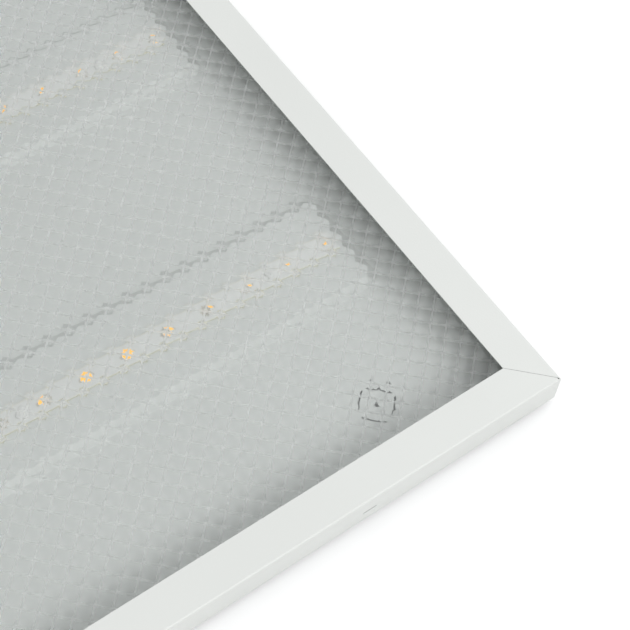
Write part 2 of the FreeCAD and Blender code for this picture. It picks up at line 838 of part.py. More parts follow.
def coverScrews():
    body = newBody("cover_screws")
    seat = "ribTop + sheetThick"
    for x, y in coverScrewPlaces():
        prism(body, x, y, seat + " - screwLength", seat, "screwRadius")
        prism(body, x, y, seat, seat + " + screwHeadHeight", "screwHeadRadius", -headTaper / 2)


def standoffPlaces():
    return [(x, "gearY %s (driverWidth / 2 - standoffInset)" % side)
            for x in ("driverBack + standoffInset", "driverFront - standoffInset")
            for side in ("-", "+")]


def driverSheets():
    """Insulating sheet on the back and the driver's circuit board above it."""
    for label, bottom, thick, margin, hole in (
            ("insulating_sheet", "sheetThick", "insulatorThick", "insulatorMargin",
             "standoffRadius + holeEase"),
            ("driver_board", "driverBoardBottom", "driverBoardThick", "0",
             "standoffPin + holeEase")):
        body = newBody(label)
        face = sketchOn(body, "XY_Plane", bottom)
        rectangle(face, "driverBack - " + margin, "gearY - driverWidth / 2 - " + margin,
                  "driverFront + " + margin, "gearY + driverWidth / 2 + " + margin)
        pad(body, face, thick)
        holes = sketchOn(body, "XY_Plane", bottom)
        for x, y in standoffPlaces():
            circle(holes, x, y, hole)
        pocket(body, holes, thick + " + fitGap", reverse=True)


def driverStandoffs():
    body = newBody("driver_standoffs")
    for x, y in standoffPlaces():
        prism(body, x, y, "sheetThick", "driverBoardBottom", "standoffRadius")
        prism(body, x, y, "driverBoardBottom", "driverBoardTop", "standoffPin")
        prism(body, x, y, "driverBoardTop", "driverBoardTop + standoffPin",
              "standoffPin + 3 * holeEase", -headTaper)


def driverBlock(label, x, y, length, width, height, round=None):
    """A moulded part that stands on the driver board, with its middle at (x, y)."""
    body = newBody(label)
    addBlock(body, x, y, length, width, height, round)
    return body


def addBlock(body, x, y, length, width, height, round=None):
    face = sketchOn(body, "XY_Plane", "driverBoardTop")
    rectangle(face, "%s - %s / 2" % (x, length), "%s - %s / 2" % (y, width),
              "%s + %s / 2" % (x, length), "%s + %s / 2" % (y, width), round)
    pad(body, face, height)


def driverParts():
    transformer = driverBlock("driver_transformer", "-transformerX", "gearY", "transformerLength",
                              "transformerCoreWidth", "partHeight", "bendRadius / 2")
    addBlock(transformer, "-transformerX", "gearY", "transformerLength * 0.65",
             "transformerWidth", "partHeight * 0.8")
    driverBlock("driver_filter_capacitor", "driverFront - filterInset", "gearY + driverWidth / 4",
                "filterLength", "filterWidth", "partHeight", "bendRadius / 2")
    capacitors = newBody("driver_capacitors")
    for side in ("-", "+"):
        lyingCapacitor(capacitors, "gearY %s driverWidth / 4" % side)
    choke = newBody("driver_choke")
    revolved(choke, "driverFront - filterInset - filterLength * 1.6", "gearY - driverWidth / 4", [
        ("0", "driverBoardTop"),
        ("chokeRadius", "driverBoardTop"),
        ("chokeRadius", "driverBoardTop + chokeFlange"),
        ("chokeRadius * 0.75", "driverBoardTop + chokeFlange"),
        ("chokeRadius * 0.75", "driverBoardTop + partHeight - chokeFlange"),
        ("chokeRadius", "driverBoardTop + partHeight - chokeFlange"),
        ("chokeRadius", "driverBoardTop + partHeight"),
        ("0", "driverBoardTop + partHeight")])
    output = driverBlock("driver_output_plug", "driverBack + plugLength / 2", "gearY",
                         "plugLength", "plugWidth", "outputHeight")
    leadHoles(output, "driverBack", "gearY", "driverBoardTop + outputHeight / 2")
    source = driverBlock("driver_input_plug", "driverFront - plugLength / 2",
                         "gearY - polePitch / 2", "plugLength", "(3 * polePitch - 2 * wireHole)",
                         "partHeight * 0.7")
    holes = sketchOn(source, "YZ_Plane", "driverFront")
    for pole in (-1, 0):
        circle(holes, "gearY + polePitch * %d" % pole, "terminalWireZ", "mainsRadius + holeEase")
    pocket(source, holes, "mainsWireEnd")


def lyingCapacitor(body, y):
    """Electrolytic can on its side, with its crimp groove near one end."""
    sketch = sketchOn(body, "XY_Plane", "driverBoardTop + canRadius")
    axis = sketch.addGeometry(Part.LineSegment(
        FreeCAD.Vector(0, value(y), 0), FreeCAD.Vector(1, value(y), 0)), True)
    bind(sketch, [(Sketcher.Constraint("Horizontal", axis), None),
                  placed("DistanceY", axis, 1, y)])
    back = "-transformerX - transformerLength - canLength / 2"
    front = "-transformerX - transformerLength + canLength / 2"
    groove = "canLength * 0.15"
    outline(sketch, [
        (back, y),
        (back, y + " + canRadius"),
        ("%s + %s" % (back, groove), y + " + canRadius"),
        ("%s + %s" % (back, groove), y + " + canRadius * 0.9"),
        ("%s + %s + canRadius * 0.2" % (back, groove), y + " + canRadius * 0.9"),
        ("%s + %s + canRadius * 0.2" % (back, groove), y + " + canRadius"),
        (front, y + " + canRadius"),
        (front, y)])
    feature = body.newObject("PartDesign::Revolution", body.Name + "_can")
    feature.Profile = sketch
    feature.ReferenceAxis = (sketch, ["Axis0"])
    doc.recompute()


# ---- mains terminal and cable entry -----------------------------------------------------

def terminalBlock():
    """Three-pole push-in block: wire holes both sides, a slot for each button, two pegs."""
    body = newBody("terminal_block")
    face = sketchOn(body, "XY_Plane", "sheetThick")
    rectangle(face, "-terminalX - terminalLength / 2", "gearY - terminalWidth / 2",
              "-terminalX + terminalLength / 2", "gearY + terminalWidth / 2")
    pad(body, face, "terminalHeight")
    pegs = sketchOn(body, "XY_Plane", "0")
    for side in ("-", "+"):
        circle(pegs, "-terminalX", "gearY %s polePitch" % side, "terminalPeg")
    pad(body, pegs, "sheetThick + fitGap")
    for side, reverse in (("-", True), ("+", False)):
        holes = sketchOn(body, "YZ_Plane", "-terminalX %s terminalLength / 2" % side)
        for pole in (-1, 0, 1):
            circle(holes, "gearY + polePitch * %d" % pole, "terminalWireZ", "wireHole")
        pocket(body, holes, "wireHoleDepth", reverse)
    slots = sketchOn(body, "XY_Plane", "terminalTop")
    for pole in (-1, 0, 1):
        buttonOutline(slots, pole, "fitGap")
    pocket(body, slots, "buttonDepth - buttonProud + buttonTravel + fitGap")


def buttonOutline(sketch, pole, ease):
    y = "gearY + polePitch * %d" % pole
    rectangle(sketch, "-terminalX - buttonLength / 2 - " + ease, y + " - buttonWidth / 2 - " + ease,
              "-terminalX + buttonLength / 2 + " + ease, y + " + buttonWidth / 2 + " + ease)


def terminalButton(label, pole):
    """Release button with a slot for a screwdriver's blade."""
    body = newBody(label)
    face = sketchOn(body, "XY_Plane", "terminalTop + buttonProud")
    buttonOutline(face, pole, "0")
    pad(body, face, "buttonDepth", reverse=True)
    slot = sketchOn(body, "XY_Plane", "terminalTop + buttonProud")
    y = "gearY + polePitch * %d" % pole
    rectangle(slot, "-terminalX - buttonLength / 2 - fitGap", y + " - fitGap",
              "-terminalX + buttonLength / 2 + fitGap", y + " + fitGap")
    pocket(body, slot, "buttonProud")


def mainsWire(label, pole):
    """Straight link from the terminal block to the driver's input."""
    body = newBody(label)
    end = sketchOn(body, "YZ_Plane", "driverFront - mainsWireEnd")
    circle(end, "gearY + polePitch * %d" % pole, "terminalWireZ", "mainsRadius")
    pad(body, end, "mainsWireEnd - driverFront - terminalX - terminalLength / 2 + wireHoleDepth")


def cableGrommet():
    body = newBody("cable_grommet")
    revolved(body, "-entryX", "gearY", [
        ("grommetBore", "entryHeight - grommetFlange"),
        ("grommetRadius", "entryHeight - grommetFlange"),
        ("grommetRadius", "entryHeight"),
        ("entryRadius - holeEase / 2", "entryHeight"),
        ("entryRadius - holeEase / 2", "entryTop"),
        ("grommetRadius", "entryTop"),
        ("grommetRadius - grommetFlange * 0.6", "entryTop + grommetFlange"),
        ("grommetBore", "entryTop + grommetFlange")])


# ---- earth connection -------------------------------------------------------------------

def earthParts():
    x, y = "-earthX", "gearY + earthOffset"
    revolved(newBody("earth_stud"), x, y, [
        ("0", "sheetThick"),
        ("studFootRadius", "sheetThick"),
        ("studFootRadius", "lugBottom"),
        ("studRadius", "lugBottom"),
        ("studRadius", "sheetThick + studHeight - studRadius * 0.2"),
        ("studRadius * 0.8", "sheetThick + studHeight"),
        ("0", "sheetThick + studHeight")])
    revolved(newBody("earth_washer"), x, y, [
        ("studRadius + holeEase", "washerBottom"),
        ("lugRadius", "washerBottom"),
        ("lugRadius", "nutBottom"),
        ("studRadius + holeEase", "nutBottom")])
    nut = newBody("earth_nut")
    face = sketchOn(nut, "XY_Plane", "nutBottom")
    manySided(face, x, y, "nutAcross / sqrt(3)", "nutSides")
    circle(face, x, y, "studRadius + holeEase")
    pad(nut, face, "nutHeight")
    earthLug(x, y)


def earthLug(x, y):
    """Ring lug on the stud, with a crimp barrel towards the terminal block."""
    body = newBody("earth_lug")
    ring = sketchOn(body, "XY_Plane", "lugBottom")
    circle(ring, x, y, "lugRadius")
    circle(ring, x, y, "studRadius + holeEase")
    pad(body, ring, "lugThick")
    neck = sketchOn(body, "XY_Plane", "lugBottom")
    rectangle(neck, x + " - barrelRadius", y + " - lugRadius - lugNeck",
              x + " + barrelRadius", y + " - lugRadius * 0.8")
    pad(body, neck, "lugThick")
    barrel = sketchOn(body, "XZ_Plane", "-(%s) + lugRadius + lugNeck" % y)
    circle(barrel, x, "lugBottom + barrelRadius", "barrelRadius")
    pad(body, barrel, "barrelLength")
    bore = sketchOn(body, "XZ_Plane", "-(%s) + lugRadius + lugNeck + barrelLength" % y)
    circle(bore, x, "lugBottom + barrelRadius", "mainsRadius + holeEase")
    pocket(body, bore, "barrelLength")


# ---- wires: straight runs joined by tangent arcs ----------------------------------------

def wirePath(points):
    """A path through the points, each inner one rounded as widely as its runs allow."""
    edges, tightest = [], None
    last = points[0]
    for before, here, after in zip(points, points[1:], points[2:]):
        towards = (before - here).normalize()
        onwards = (after - here).normalize()
        reach = 0.45 * min((before - here).Length, (after - here).Length)
        halfTurn = (math.pi - towards.getAngle(onwards)) / 2
        radius = reach / math.tan(halfTurn)
        bisector = (towards + onwards).normalize()
        deep = radius / math.cos(halfTurn) - radius
        begin, end = here + towards * reach, here + onwards * reach
        edges.append(Part.LineSegment(last, begin).toShape())
        edges.append(Part.Arc(begin, here + bisector * deep, end).toShape())
        tightest = radius if tightest is None else min(tightest, radius)
        last = end
    edges.append(Part.LineSegment(last, points[-1]).toShape())
    return Part.Wire(edges), tightest


def tube(points, radius):
    path, tightest = wirePath(points)
    along = (points[1] - points[0]).normalize()
    across = FreeCAD.Vector(0, 0, 1).cross(along).normalize() * radius
    corners = [points[0] + FreeCAD.Rotation(along, 360 * k / tubeSides).multVec(across)
               for k in range(tubeSides + 1)]
    solid = path.makePipeShell([Part.makePolygon(corners)], True, False)
    expected = tubeSides / 2 * math.sin(2 * math.pi / tubeSides) * radius ** 2 * path.Length
    if abs(solid.Volume / expected - 1) > 0.02:
        raise RuntimeError("a wire's volume is off")
    return solid, tightest, path.Length


def wires(label, routes, radiusName):
    feature = doc.addObject("Part::Feature", label)
    made = [tube(route, value(radiusName)) for route in routes]
    solids = [item[0] for item in made]
    feature.Shape = solids[0] if len(solids) == 1 else Part.makeCompound(solids)
    feature.Label = label
    feature.Placement = FreeCAD.Placement()
    parts.append(feature)
    print(label, "tightest arc %.1f mm," % min(item[1] for item in made),
          "longest wire %.0f mm" % max(item[2] for item in made))


def leadRoute(start, end, outer):
    """From one lead hole out to the -X wall, along it on the back, and in to another hole."""
    side = 1 if end.y > start.y else -1
    low = value("sheetThick + leadRadius + holeEase")
    run = value("fitGap - wallInside") + value("leadRun") - outer
    near1, near2 = start.x - value("leadStraight"), end.x - value("leadStraight") / 2
    points = [start,
              FreeCAD.Vector(near1, start.y, start.z),
              FreeCAD.Vector(near1 - 7, start.y + 3 * side, start.z * 0.6 + low * 0.4),
              FreeCAD.Vector(run + 3, start.y + 12 * side, low),
              FreeCAD.Vector(run, start.y + 28 * side, low)]
    span = abs(end.y - start.y) - 56
    middles = int(span // 30)
    for k in range(1, middles + 1):
        part = k / (middles + 1)
        points.append(FreeCAD.Vector(run - 1.2 * math.sin(math.pi * part),
                                     start.y + (28 + span * part) * side, low))
    points += [FreeCAD.Vector(run, end.y - 28 * side, low),
               FreeCAD.Vector(run + 3, end.y - 12 * side, low),
               FreeCAD.Vector(near2 - 7, end.y - 3 * side, end.z * 0.6 + low * 0.4),
               FreeCAD.Vector(near2, end.y, end.z),
               end]
    return points


def leads():
    """Three pairs of leads: the driver to the outer and middle boards, and the middle on."""
    pitch = value("leadPitch")
    plugX, plugZ = value("boardBack + 2 * plugInset"), value("boardTop + plugHeight / 2")
    driverX, driverZ = value("driverBack + plugInset"), value("driverBoardTop + outputHeight / 2")
    row, gear = value("ribSpacing"), value("gearY")

    def pair(label, startX, startY, startZ, endY):
        side = 1 if endY > startY else -1
        routes = []
        for near, outer in ((1.5, 0), (0.5, pitch)):
            start = FreeCAD.Vector(startX, startY + near * pitch * side, startZ)
            end = FreeCAD.Vector(plugX, endY - near * pitch * side, plugZ)
            routes.append(leadRoute(start, end, outer))
        wires(label, routes, "leadRadius")

    pair("leads_driver_to_board_3", driverX, gear, driverZ, row)
    pair("leads_driver_to_board_2", driverX, gear, driverZ, 0)
    pair("leads_board_2_to_board_1", plugX, 0, plugZ, -row)


def earthWire():
    """From the terminal block's earth pole round to the lug's barrel."""
    startX = value("-terminalX - terminalLength / 2 + wireHoleDepth")
    outX = value("-terminalX - terminalLength / 2 - earthLoop")
    poleY, height = value("gearY + polePitch"), value("terminalWireZ")
    lugX = value("-earthX")
    lugY = value("gearY + earthOffset - lugRadius - lugNeck")
    lugZ = value("lugBottom + barrelRadius")
    barrel = value("barrelLength")
    clear = value("gearY + terminalWidth / 2 + mainsRadius") + 3
    wires("earth_wire", [[
        FreeCAD.Vector(startX, poleY, height),
        FreeCAD.Vector(outX + 1.5, poleY, height),
        FreeCAD.Vector(outX, poleY + 6, height - 0.8),
        FreeCAD.Vector(outX + 2.5, clear, height - 2.2),
        FreeCAD.Vector(lugX, clear + 1.5, lugZ),
        FreeCAD.Vector(lugX, lugY, lugZ)]], "mainsRadius")


# ---- the whole panel --------------------------------------------------------------------

def checkAll():
    for item in doc.Objects:
        bad = [state for state in item.State if state in ("Invalid", "Error")]
        if bad:
            raise RuntimeError("%s is %s" % (item.Name, ", ".join(bad)))
    for part in parts:
        if part.Shape.isNull() or not part.Shape.isValid():
            raise RuntimeError("%s has no valid shape" % part.Label)


def build():
    fillSheet()
    housing()
    endRail()
    diffuser()
    for number, row in enumerate((-1, 0, 1), start=1):
        ledBoard(row, number)
        ledPackages(row, number)
        ledPhosphors(row, number)
        boardRivets(row, number)
        boardPlug(row, number)
    gearCover()
    coverScrews()
    driverSheets()
    driverStandoffs()
    driverParts()
    terminalBlock()
    for pole, name in ((-1, "live"), (0, "neutral"), (1, "earth")):
        terminalButton("terminal_button_" + name, pole)
    mainsWire("live_wire", -1)
    mainsWire("neutral_wire", 0)
    cableGrommet()
    earthParts()
    leads()
    earthWire()
    doc.recompute()
    checkAll()


def write():
    os.makedirs("parts", exist_ok=True)
    for part in parts:
        part.Shape.exportStep("parts/%s.step" % part.Label)
        print(part.Label, "solids", len(part.Shape.Solids), "volume %.1f" % part.Shape.Volume)


build()
write()
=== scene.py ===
import math

import bmesh
import bpy
from mathutils import Matrix, Vector


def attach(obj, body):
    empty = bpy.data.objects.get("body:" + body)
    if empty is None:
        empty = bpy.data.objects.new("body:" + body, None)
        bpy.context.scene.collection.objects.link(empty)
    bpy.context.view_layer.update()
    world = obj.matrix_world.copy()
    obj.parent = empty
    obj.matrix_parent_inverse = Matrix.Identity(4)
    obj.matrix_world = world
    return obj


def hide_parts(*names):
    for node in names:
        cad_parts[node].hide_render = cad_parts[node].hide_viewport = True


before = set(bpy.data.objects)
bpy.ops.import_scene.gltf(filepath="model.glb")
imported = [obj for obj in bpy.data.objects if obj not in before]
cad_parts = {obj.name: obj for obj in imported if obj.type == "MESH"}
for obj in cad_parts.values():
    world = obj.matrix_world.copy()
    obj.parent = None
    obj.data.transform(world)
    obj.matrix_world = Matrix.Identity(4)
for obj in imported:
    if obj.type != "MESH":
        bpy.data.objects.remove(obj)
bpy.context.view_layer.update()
print("frame loaded,", len(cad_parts), "nodes")


# helpers for node trees

def newGroup(name, inputs, outputs):
    group = bpy.data.node_groups.new(name, "ShaderNodeTree")
    for label, kind, default in inputs:
        socket = group.interface.new_socket(label, in_out="INPUT", socket_type="NodeSocket" + kind)
        socket.default_value = default
    for label, kind in outputs:
        group.interface.new_socket(label, in_out="OUTPUT", socket_type="NodeSocket" + kind)
    return group, group.nodes.new("NodeGroupInput"), group.nodes.new("NodeGroupOutput")


def addNode(tree, kind, **settings):
    node = tree.nodes.new("ShaderNode" + kind)
    for key, setting in settings.items():
        setattr(node, key, setting)
    return node


# a number or a colour is set on the socket, anything else is linked to it
def feed(tree, socket, source):
    if isinstance(source, (int, float, tuple)):
        socket.default_value = source
    else:
        tree.links.new(source, socket)


def mathNode(tree, operation, *sources):
    node = addNode(tree, "Math", operation=operation)
    for socket, source in zip(node.inputs, sources):
        feed(tree, socket, source)
    return node.outputs[0]


def blend(tree, factor, first, second, kind="MIX"):
    node = addNode(tree, "MixRGB", blend_type=kind)
    for label, source in (("Fac", factor), ("Color1", first), ("Color2", second)):
        feed(tree, node.inputs[label], source)
    return node.outputs["Color"]


def objectAxes(tree):
    where = addNode(tree, "TexCoord")
    split = addNode(tree, "SeparateXYZ")
    tree.links.new(where.outputs["Object"], split.inputs[0])
    return split.outputs


def noiseNode(tree, scale, detail, stretch=(1, 1, 1)):
    where = addNode(tree, "TexCoord")
    mapping = addNode(tree, "Mapping")
    mapping.inputs["Scale"].default_value = stretch
    noise = addNode(tree, "TexNoise")
    noise.inputs["Detail"].default_value = detail
    feed(tree, noise.inputs["Scale"], scale)
    tree.links.new(where.outputs["Object"], mapping.inputs["Vector"])
    tree.links.new(mapping.outputs["Vector"], noise.inputs["Vector"])
    return noise.outputs["Fac"]


# noise lies mostly between 0.3 and 0.7
def remap(tree, source, low, high):
    node = addNode(tree, "MapRange")
    for label, setting in (("Value", source), ("From Min", 0.3), ("From Max", 0.7),
                           ("To Min", low), ("To Max", high)):
        feed(tree, node.inputs[label], setting)
    return node.outputs["Result"]


def groupIn(tree, group, settings):
    node = addNode(tree, "Group")
    node.node_tree = group
    for label, setting in settings.items():
        node.inputs[label].default_value = setting
    return node


wear = {"cloud": 9.0, "smudge": 45.0, "uneven": (0.85, 1.15), "bumpDepth": 0.0004}


# colour with faint cloudiness, uneven gloss and a fine relief
def finishGroup(name, stretch=(1, 1, 1)):
    group, given, out = newGroup(name, [
        ("Tint", "Color", (0.8, 0.8, 0.8, 1)),
        ("Gloss", "Float", 0.4),
        ("Grain", "Float", 900.0),
        ("Mottle", "Float", 0.05),
    ], [("Color", "Color"), ("Roughness", "Float"), ("Height", "Float")])
    fine = noiseNode(group, given.outputs["Grain"], 2.0, stretch)
    cloud = remap(group, noiseNode(group, wear["cloud"], 4.0), 0.0, 1.0)
    smudge = remap(group, noiseNode(group, wear["smudge"], 5.0), *wear["uneven"])
    shade = mathNode(group, "MULTIPLY", cloud, given.outputs["Mottle"])
    lift = mathNode(group, "SUBTRACT", 1.0, shade)
    darker = addNode(group, "CombineColor")
    for channel in range(3):
        group.links.new(lift, darker.inputs[channel])
    tone = blend(group, 1.0, given.outputs["Tint"], darker.outputs["Color"], "MULTIPLY")
    uneven = mathNode(group, "MULTIPLY", smudge, given.outputs["Gloss"])
    group.links.new(tone, out.inputs["Color"])
    group.links.new(uneven, out.inputs["Roughness"])
    group.links.new(fine, out.inputs["Height"])
    return group


# sizes in metres; the relief reaches to just under the flanges
prism = {"pitch": 0.0078, "bottom": 0.0161, "top": 0.0181, "depth": 0.0015, "round": 1.5,
         "reach": 0.2959, "relief": 0.2776, "steps": 6}


# lines at the prisms' pitch, through the middle of each lens, at 45 degrees to the frame; the
# sheet is hazy there, and its lighter tint there is painted highlight
def gridGroup():
    group, given, out = newGroup("prismLines", [
        ("Pitch", "Float", prism["pitch"]),
        ("Width", "Float", 0.0003),
    ], [("Line", "Float")])
    x, y, _ = objectAxes(group)
    lines = []
    for operation in ("ADD", "SUBTRACT"):
        along = mathNode(group, operation, x, y)
        along = mathNode(group, "DIVIDE", along, math.sqrt(2))
        along = mathNode(group, "DIVIDE", along, given.outputs["Pitch"])
        near = mathNode(group, "PINGPONG", along, 0.5)
        near = mathNode(group, "SUBTRACT", 0.5, near)
        near = mathNode(group, "MULTIPLY", near, given.outputs["Pitch"])
        lines.append(mathNode(group, "LESS_THAN", near, given.outputs["Width"]))
    group.links.new(mathNode(group, "MAXIMUM", *lines), out.inputs["Line"])
    return group


strip = {"firstLed": 0.2535, "pitch": 0.0236, "spacing": 0.165, "rows": (-0.165, 0.0, 0.165),
         "padPlace": 0.0026, "padHalf": 0.0006, "padReach": 0.0012, "padShine": 0.4,
         "bareEdge": 0.0057}


# tin pads beside each LED on white resist, and the laminate's bare edges
def boardGroup():
    group, given, out = newGroup("boardMarks", [
        ("Resist", "Color", (0.72, 0.725, 0.7, 1)),
        ("Pads", "Color", (0.58, 0.56, 0.5, 1)),
        ("Edge", "Color", (0.72, 0.7, 0.58, 1)),
    ], [("Color", "Color"), ("Pad", "Float")])
    x, y, _ = objectAxes(group)
    steps = mathNode(group, "SUBTRACT", x, strip["firstLed"])
    steps = mathNode(group, "PINGPONG", steps, strip["pitch"] / 2)
    inside = mathNode(group, "COMPARE", steps, strip["padPlace"], strip["padHalf"])
    # whole spacings are added so that the remainder stays positive
    row = mathNode(group, "ADD", y, strip["spacing"] * 4.5)
    row = mathNode(group, "MODULO", row, strip["spacing"])
    row = mathNode(group, "SUBTRACT", row, strip["spacing"] / 2)
    row = mathNode(group, "ABSOLUTE", row)
    narrow = mathNode(group, "LESS_THAN", row, strip["padReach"])
    pad = mathNode(group, "MULTIPLY", inside, narrow)
    rim = mathNode(group, "GREATER_THAN", row, strip["bareEdge"])
    tone = blend(group, pad, given.outputs["Resist"], given.outputs["Pads"])
    tone = blend(group, rim, tone, given.outputs["Edge"])
    group.links.new(tone, out.inputs["Color"])
    group.links.new(pad, out.inputs["Pad"])
    return group


slit = {"side": 0.1845, "reach": 0.0038, "height": 0.0076, "width": 0.0007, "face": -0.2965}


# painted shadow: a dark line along the slits over the snap dents, standing in for the shade under
# the wall's cut edge
def slitShadowGroup():
    group, given, out = newGroup("slitShadowMarks", [
        ("Paint", "Color", (0.7, 0.7, 0.7, 1)),
        ("SlitShadow", "Color", (0.1, 0.1, 0.1, 1)),
    ], [("Color", "Color")])
    x, y, z = objectAxes(group)
    across = mathNode(group, "ABSOLUTE", x)
    beside = mathNode(group, "COMPARE", across, slit["side"], slit["reach"])
    central = mathNode(group, "LESS_THAN", across, slit["reach"])
    level = mathNode(group, "COMPARE", z, slit["height"], slit["width"] / 2)
    front = mathNode(group, "LESS_THAN", y, slit["face"])
    shadowed = mathNode(group, "MULTIPLY", mathNode(group, "MAXIMUM", beside, central), level)
    shadowed = mathNode(group, "MULTIPLY", shadowed, front)
    # the dark colour at the slit is painted shadow
    tone = blend(group, shadowed, given.outputs["Paint"], given.outputs["SlitShadow"])
    group.links.new(tone, out.inputs["Color"])
    return group


finish = finishGroup("surfaceFinish")
brushed = finishGroup("brushedFinish", (1, 14, 14))
hazeAndHighlightLines = gridGroup()
boardMarks = boardGroup()
slitShadowMarks = slitShadowGroup()


# materials; the frame's own material of that name is emptied and filled again
def freshTree(name):
    material = bpy.data.materials.get(name) or bpy.data.materials.new(name)
    material.use_nodes = True
    tree = material.node_tree
    tree.nodes.clear()
    surface = addNode(tree, "BsdfPrincipled")
    out = addNode(tree, "OutputMaterial")
    tree.links.new(surface.outputs[0], out.inputs["Surface"])
    return tree, surface, out


def surfaceMaterial(name, tint, gloss, grain=900.0, mottle=0.05, relief=0.02, metallic=0.0,
                    coat=0.0, group=finish, glow=0.0):
    tree, surface, _ = freshTree(name)
    look = groupIn(tree, group, {
        "Tint": (*tint, 1), "Gloss": gloss, "Grain": grain, "Mottle": mottle})
    tree.links.new(look.outputs["Color"], surface.inputs["Base Color"])
    tree.links.new(look.outputs["Roughness"], surface.inputs["Roughness"])
    bump = addNode(tree, "Bump")
    bump.inputs["Strength"].default_value = relief
    bump.inputs["Distance"].default_value = wear["bumpDepth"]
    tree.links.new(look.outputs["Height"], bump.inputs["Height"])
    tree.links.new(bump.outputs["Normal"], surface.inputs["Normal"])
    surface.inputs["Metallic"].default_value = metallic
    surface.inputs["Coat Weight"].default_value = coat
    # a glow is painted light: it makes a part shine though it is no lamp
    if glow:
        tree.links.new(look.outputs["Color"], surface.inputs["Emission Color"])
        surface.inputs["Emission Strength"].default_value = glow
    return tree, surface, look


looks = {
    "white_enamel": dict(tint=(0.655, 0.668, 0.645), gloss=0.5, grain=1400, mottle=0.03,
                         relief=0.12, coat=0.05),
    "led_white": dict(tint=(0.85, 0.84, 0.8), gloss=0.3, relief=0.02),
    # the phosphor's glow is painted light, for LEDs that are not lit
    "phosphor": dict(tint=(0.95, 0.52, 0.1), gloss=0.5, mottle=0.15, relief=0.1, glow=0.55),
    "rivet_white": dict(tint=(0.72, 0.72, 0.7), gloss=0.45, relief=0.05),
    "plug_white": dict(tint=(0.78, 0.76, 0.68), gloss=0.42, relief=0.05),
    "screw_zinc": dict(tint=(0.68, 0.69, 0.72), gloss=0.28, metallic=1.0, relief=0.1,
                       group=brushed),
    "insulating_film": dict(tint=(0.6, 0.62, 0.6), gloss=0.35, relief=0.05, coat=0.2),
    "driver_board": dict(tint=(0.06, 0.2, 0.08), gloss=0.35, mottle=0.2, relief=0.1, coat=0.3),
    "standoff_nylon": dict(tint=(0.8, 0.78, 0.7), gloss=0.45, relief=0.05),
    "transformer_tape": dict(tint=(0.8, 0.52, 0.05), gloss=0.35, grain=300, relief=0.2),
    "film_capacitor": dict(tint=(0.42, 0.04, 0.025), gloss=0.25, relief=0.1, coat=0.4),
    "capacitor_sleeve": dict(tint=(0.02, 0.025, 0.05), gloss=0.3, relief=0.05, coat=0.2),
    "ferrite": dict(tint=(0.05, 0.05, 0.055), gloss=0.6, grain=1200, mottle=0.3, relief=0.3),
    "terminal_grey": dict(tint=(0.5, 0.5, 0.48), gloss=0.45, relief=0.08),
    "button_brown": dict(tint=(0.12, 0.045, 0.02), gloss=0.4, relief=0.06),
    "button_blue": dict(tint=(0.03, 0.09, 0.4), gloss=0.4, relief=0.06),
    "button_green": dict(tint=(0.03, 0.22, 0.06), gloss=0.4, relief=0.06),
    "wire_brown": dict(tint=(0.14, 0.05, 0.02), gloss=0.35, relief=0.04),
    "wire_blue": dict(tint=(0.03, 0.09, 0.4), gloss=0.35, relief=0.04),
    "lead_white": dict(tint=(0.75, 0.75, 0.73), gloss=0.38, relief=0.04),
    "grommet_rubber": dict(tint=(0.025, 0.025, 0.027), gloss=0.7, grain=1500, mottle=0.3,
                           relief=0.2),
    "stud_zinc": dict(tint=(0.66, 0.67, 0.69), gloss=0.3, metallic=1.0, relief=0.12,
                      group=brushed),
    "lug_tin": dict(tint=(0.7, 0.69, 0.65), gloss=0.32, metallic=1.0, mottle=0.15, relief=0.12),
}
finished = {name: surfaceMaterial(name, **look) for name, look in looks.items()}
print("finishes made:", len(finished))


def slitShadowPaint():
    tree, surface, look = finished["white_enamel"]
    # the enamel gets the painted shadow line at each slit
    marks = groupIn(tree, slitShadowMarks, {})
    tree.links.new(look.outputs["Color"], marks.inputs["Paint"])
    tree.links.new(marks.outputs["Color"], surface.inputs["Base Color"])


stripe = {"green": (0.09, 0.3, 0.04), "yellow": (0.75, 0.6, 0.03, 1), "turn": 0.0022,
          "width": 0.0009, "slant": 2.0}


# green wire with a yellow stripe wound slowly along it
def stripedWire():
    tree, surface, look = surfaceMaterial("wire_earth", stripe["green"], 0.35, relief=0.04)
    _, y, z = objectAxes(tree)
    along = mathNode(tree, "ADD", y, mathNode(tree, "MULTIPLY", z, stripe["slant"]))
    band = mathNode(tree, "PINGPONG", along, stripe["turn"])
    band = mathNode(tree, "LESS_THAN", band, stripe["width"])
    tone = blend(tree, band, look.outputs["Color"], stripe["yellow"])
    tree.links.new(tone, surface.inputs["Base Color"])


def boardMaterial():
    tree, surface, _ = surfaceMaterial("board_white", (0.8, 0.8, 0.77), 0.33, relief=0.05,
                                       coat=0.15)
    marks = groupIn(tree, boardMarks, {})
    shine = mathNode(tree, "MULTIPLY", marks.outputs["Pad"], strip["padShine"])
    tree.links.new(marks.outputs["Color"], surface.inputs["Base Color"])
    tree.links.new(shine, surface.inputs["Metallic"])


clear = {"lineWidth": 0.00042, "sheet": (0.875, 0.882, 0.882, 1), "line": (0.93, 0.935, 0.935, 1),
         "lineRough": 0.7, "rough": (0.07, 0.11), "dust": 160.0, "bend": 1.5,
         "glint": (0.4, 0.4, 0.4, 1), "lampLight": (0.885, 0.893, 0.892, 1)}
